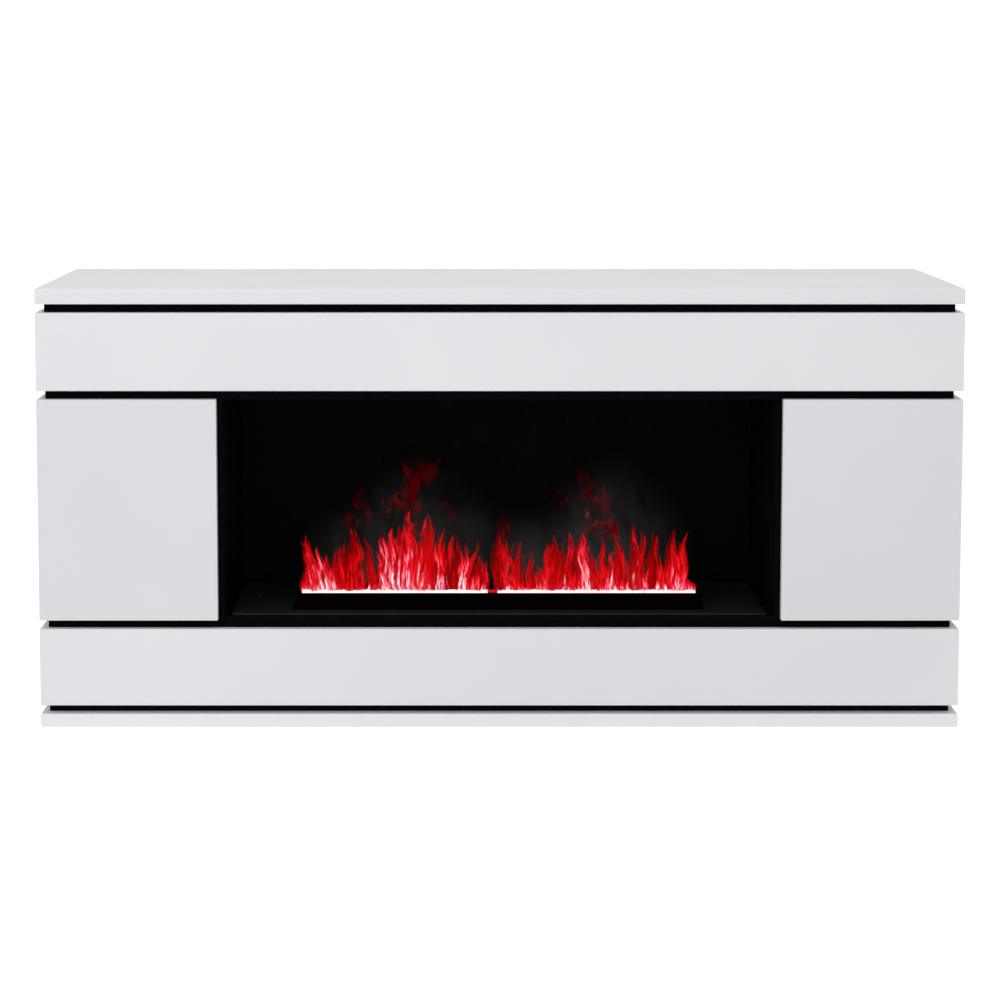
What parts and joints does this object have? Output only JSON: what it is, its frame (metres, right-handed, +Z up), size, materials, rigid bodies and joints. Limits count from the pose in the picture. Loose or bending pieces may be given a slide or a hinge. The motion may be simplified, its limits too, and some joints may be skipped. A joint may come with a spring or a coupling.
{
  "type": "fireplace tv stand",
  "caption": "Low white TV cabinet with a full-width drawer, side cupboards, a drop-down flap and a water mist fire in an open black niche.",
  "frame": {"origin": "middle of the underside of the base slab", "axes": "+X to the right of someone facing the fire, +Y to the back, +Z up"},
  "size_m": [1.5, 0.4, 0.72],
  "materials": {
    "white_lacquer": "satin white lacquer on fibreboard",
    "black_board": "matt black faced board",
    "drawer_board": "grey faced board",
    "black_steel": "satin black powder coat",
    "steel": "zinc plated",
    "beech": "bare turned beech",
    "black_plastic": "moulded, fine grain",
    "tank_plastic": "milky moulded polyethylene",
    "float_foam": "closed cell foam",
    "circuit_board": "solder mask",
    "aluminium": "bare extrusion",
    "transducer_metal": "plated disc in a ring",
    "button_plastic": "polished"
  },
  "bodies": {
    "cabinet": {"top_slab": "white_lacquer", "base_slab": "white_lacquer", "upper_claddings": "white_lacquer", "middle_claddings": "white_lacquer", "lower_claddings": "white_lacquer", "bottom_board": "black_board", "hearth_board": "black_board", "niche_ceiling": "black_board", "roof_board": "black_board", "left_side_board": "black_board", "right_side_board": "black_board", "niche_partitions": "black_board", "lower_ribs": "black_board", "niche_back": "black_board", "rear_panel": "black_board", "shelves": "black_board", "cassette_tub": "black_steel", "cover_plate": "black_steel", "cassette_screws": "black_steel", "shelf_pins": "steel", "runner_cabinet_members": "steel", "hinge_arms": "steel", "hinge_pins": "steel", "hinge_mounts": "steel", "carcass_screws": "steel", "dowels": "beech", "cable_grommets": "black_plastic", "catch_magnets": "black_plastic", "mist_trough": "black_plastic", "fan_frames": "black_plastic", "mains_inlet": "black_plastic", "water_tank": "tank_plastic", "control_board": "circuit_board", "light_strips": "aluminium", "power_supply": "aluminium", "transducers": "transducer_metal"},
    "left_door": {"left_door": "white_lacquer", "left_hinge_cups": "steel", "left_strike": "steel"},
    "right_door": {"right_door": "white_lacquer", "right_hinge_cups": "steel", "right_strike": "steel"},
    "drawer": {"drawer_front": "white_lacquer", "drawer_sides": "drawer_board", "drawer_inner_front": "drawer_board", "drawer_back": "drawer_board", "drawer_bottom": "drawer_board", "drawer_stiffener": "drawer_board", "runner_drawer_members": "steel"},
    "runner_middle": {"runner_middle_members": "steel"},
    "service_flap": {"service_flap": "white_lacquer", "flap_hinge_cups": "steel", "flap_strikes": "steel"},
    "burner_hood": {"burner_hood": "black_steel"},
    "filler_cap": {"filler_cap": "black_plastic"},
    "level_float": {"level_float": "float_foam"},
    "power_button": {"power_button": "button_plastic"},
    "switch_rocker": {"switch_rocker": "button_plastic"},
    "left_fan": {"left_fan_rotor": "black_plastic"},
    "right_fan": {"right_fan_rotor": "black_plastic"}
  },
  "joints": [
    {"name": "left_door_hinge", "type": "hinge", "parent": "cabinet", "child": "left_door", "pos_m": [-0.742, -0.191, 0.3585], "axis": [0, 0, -1], "range_deg": [0, 95]},
    {"name": "right_door_hinge", "type": "hinge", "parent": "cabinet", "child": "right_door", "pos_m": [0.742, -0.191, 0.3585], "axis": [0, 0, 1], "range_deg": [0, 95]},
    {"name": "drawer_slide", "type": "slide", "parent": "cabinet", "child": "drawer", "axis": [0, -1, 0], "range_m": [0, 0.29]},
    {"name": "runner_middle_slide", "type": "slide", "parent": "cabinet", "child": "runner_middle", "axis": [0, -1, 0], "range_m": [0, 0.145]},
    {"name": "flap_hinge", "type": "hinge", "parent": "cabinet", "child": "service_flap", "pos_m": [0, -0.191, 0.044], "axis": [1, 0, 0], "range_deg": [0, 90]},
    {"name": "hood_lift", "type": "slide", "parent": "cabinet", "child": "burner_hood", "axis": [0, 0, 1], "range_m": [0, 0.09]},
    {"name": "cap_lift", "type": "slide", "parent": "cabinet", "child": "filler_cap", "axis": [0, 0, 1], "range_m": [0, 0.05]},
    {"name": "float_rise", "type": "slide", "parent": "cabinet", "child": "level_float", "axis": [0, 0, 1], "range_m": [0, 0.075]},
    {"name": "button_press", "type": "slide", "parent": "cabinet", "child": "power_button", "axis": [0, 0, -1], "range_m": [0, 0.0012], "stiffness_N_per_m": 400, "springref_m": -0.0004},
    {"name": "rocker_tip", "type": "hinge", "parent": "cabinet", "child": "switch_rocker", "pos_m": [0.375, 0.0345, 0.1275], "axis": [1, 0, 0], "range_deg": [0, 16]},
    {"name": "left_fan_spin", "type": "hinge", "parent": "cabinet", "child": "left_fan", "pos_m": [-0.2, -0.06, 0.1375], "axis": [0, 1, 0], "continuous": true},
    {"name": "right_fan_spin", "type": "hinge", "parent": "cabinet", "child": "right_fan", "pos_m": [0.2, -0.06, 0.1375], "axis": [0, 1, 0], "continuous": true}
  ],
  "couplings": [
    {"joint": "runner_middle_slide", "follows": "drawer_slide", "ratio": 0.5}
  ]
}
